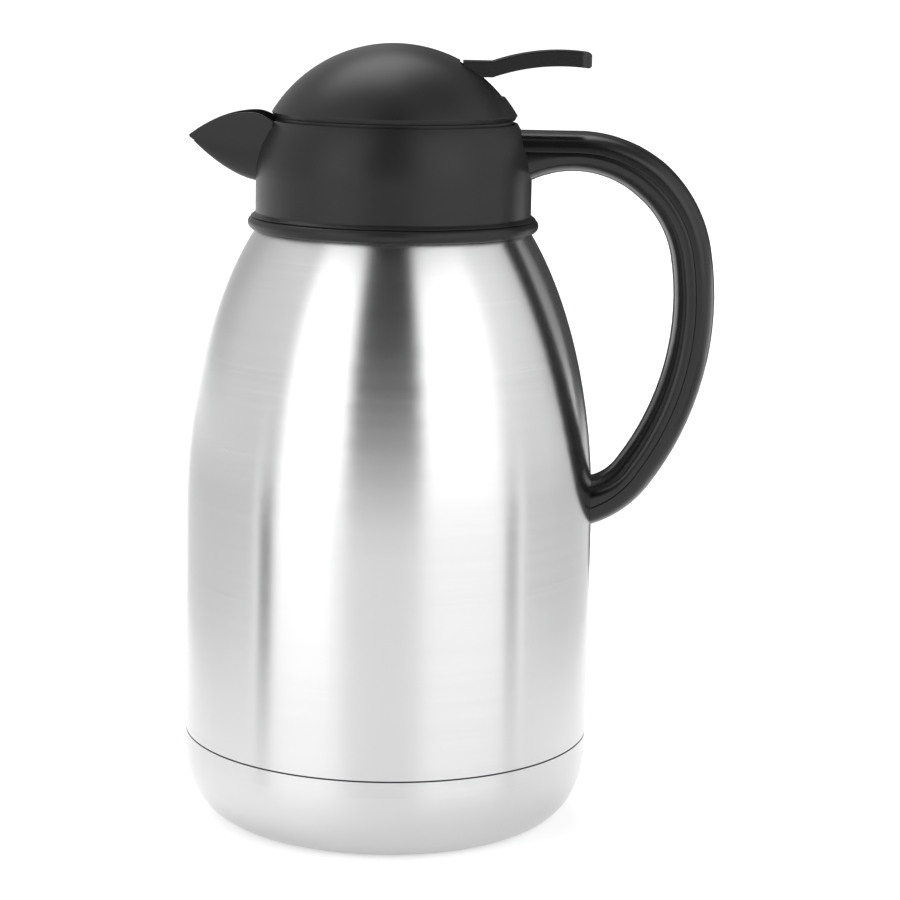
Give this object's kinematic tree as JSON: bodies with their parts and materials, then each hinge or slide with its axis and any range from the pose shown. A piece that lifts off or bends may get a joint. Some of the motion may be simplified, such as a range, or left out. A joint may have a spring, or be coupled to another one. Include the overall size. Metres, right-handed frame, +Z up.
{
  "type": "vacuum jug",
  "caption": "Bullet-shaped steel vacuum jug with a beak spout, loop handle, and a screw-in domed lid whose thumb lever opens a pour valve.",
  "frame": {"origin": "on the body's axis, in the plane of the flat ring that it stands on", "axes": "+Z up along the body's axis, +X towards the handle, -X towards the spout"},
  "size_m": [0.1935, 0.15, 0.285],
  "materials": {
    "brushed_body": "stainless steel brushed round the body",
    "inner_steel": "plain drawn stainless steel, smooth",
    "collar_black": "fine matt moulded black",
    "handle_black": "satin moulded black",
    "stopper_black": "matt moulded black",
    "seal": "translucent grey silicone",
    "small_steel": "plain stainless steel"
  },
  "bodies": {
    "jug": {"outer_shell": "brushed_body", "base_shell": "brushed_body", "vacuum_floor": "inner_steel", "vacuum_port_cap": "inner_steel", "inner_vessel": "inner_steel", "getter": "inner_steel", "neck_gasket": "seal", "collar": "collar_black", "collar_ring": "collar_black", "collar_sleeve": "stopper_black", "handle_grip": "handle_black", "handle_cover": "handle_black", "handle_bracket": "small_steel", "handle_screws": "small_steel"},
    "lid_seals": {"stopper_seal": "seal", "lid_gasket": "seal"},
    "lid": {"lid_dome": "collar_black", "stopper_body": "stopper_black", "lever_pin": "small_steel", "valve_spring": "small_steel"},
    "lever": {"thumb_lever": "handle_black"},
    "valve": {"valve_stem": "small_steel", "valve_plug": "stopper_black", "valve_gasket": "seal", "stem_cap": "stopper_black"}
  },
  "joints": [
    {"name": "lid_lift", "type": "slide", "parent": "jug", "child": "lid_seals", "axis": [0, 0, 1], "range_m": [0, 0.0121]},
    {"name": "lid_turn", "type": "hinge", "parent": "lid_seals", "child": "lid", "pos_m": [0, 0, 0.25], "axis": [0, 0, 1], "range_deg": [0, 180]},
    {"name": "lever_press", "type": "hinge", "parent": "lid", "child": "lever", "pos_m": [0.016, 0, 0.27], "axis": [0, 1, 0], "range_deg": [0, 18], "stiffness_Nm_per_rad": 0.1, "springref_deg": -17.19},
    {"name": "valve_lift", "type": "slide", "parent": "lid", "child": "valve", "axis": [0, 0, 1], "range_m": [0, 0.0051], "deforming": ["valve_spring"]}
  ],
  "couplings": [
    {"joint": "lid_lift", "follows": "lid_turn", "m_per_rad": 0.0038197},
    {"joint": "valve_lift", "follows": "lever_press", "m_per_rad": 0.016}
  ]
}
